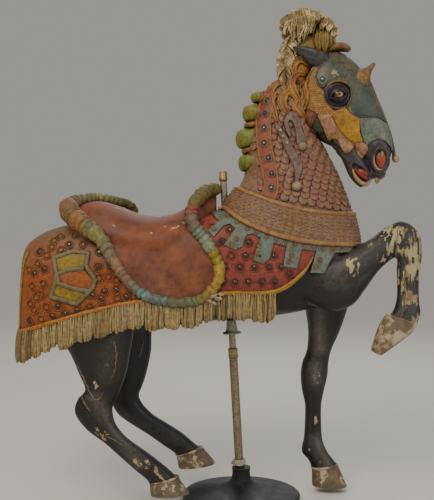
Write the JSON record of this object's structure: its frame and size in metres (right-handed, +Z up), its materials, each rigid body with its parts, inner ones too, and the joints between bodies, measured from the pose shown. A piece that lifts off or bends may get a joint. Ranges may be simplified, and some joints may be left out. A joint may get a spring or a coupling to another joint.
{
  "type": "carousel horse",
  "caption": "Carved and painted wooden carousel horse in armour and jewelled caparison, one foreleg raised, on a leaning pole with a round iron foot.",
  "frame": {"origin": "centre of the flat underside of the stand's round foot, on the floor", "axes": "+X towards the horse's head, +Y towards its left (far, plainer) side, +Z up"},
  "size_m": [1.3399, 0.4, 1.6746],
  "materials": {
    "carved_wood": "aged oil paint over carved basswood",
    "eye_glass": "polished",
    "jewel_glass": "faceted, dulled",
    "rod_steel": "worn",
    "post_steel": "weathered",
    "cap_brass": "dull",
    "yellow_paint": "worn",
    "pale_metal": "chalky",
    "foot_iron": "black paint"
  },
  "bodies": {
    "root": {"horse": "carved_wood", "stand_post": "post_steel", "pole_ferrule": "yellow_paint", "upper_rod": "rod_steel", "pole_cap": "cap_brass", "belly_flange": "pale_metal", "belly_cup": "pale_metal", "foot_ring": "pale_metal", "stand_foot": "foot_iron", "eye_right": "eye_glass", "eye_left": "eye_glass", "jewel_1": "jewel_glass", "jewel_2": "jewel_glass", "jewel_3": "jewel_glass", "jewel_4": "jewel_glass", "jewel_5": "jewel_glass", "jewel_6": "jewel_glass", "jewel_7": "jewel_glass", "jewel_8": "jewel_glass", "jewel_9": "jewel_glass", "jewel_10": "jewel_glass", "jewel_11": "jewel_glass", "jewel_12": "jewel_glass", "jewel_13": "jewel_glass", "jewel_14": "jewel_glass", "jewel_15": "jewel_glass", "jewel_16": "jewel_glass", "jewel_17": "jewel_glass", "jewel_18": "jewel_glass", "jewel_19": "jewel_glass", "jewel_20": "jewel_glass"}
  },
  "joints": []
}
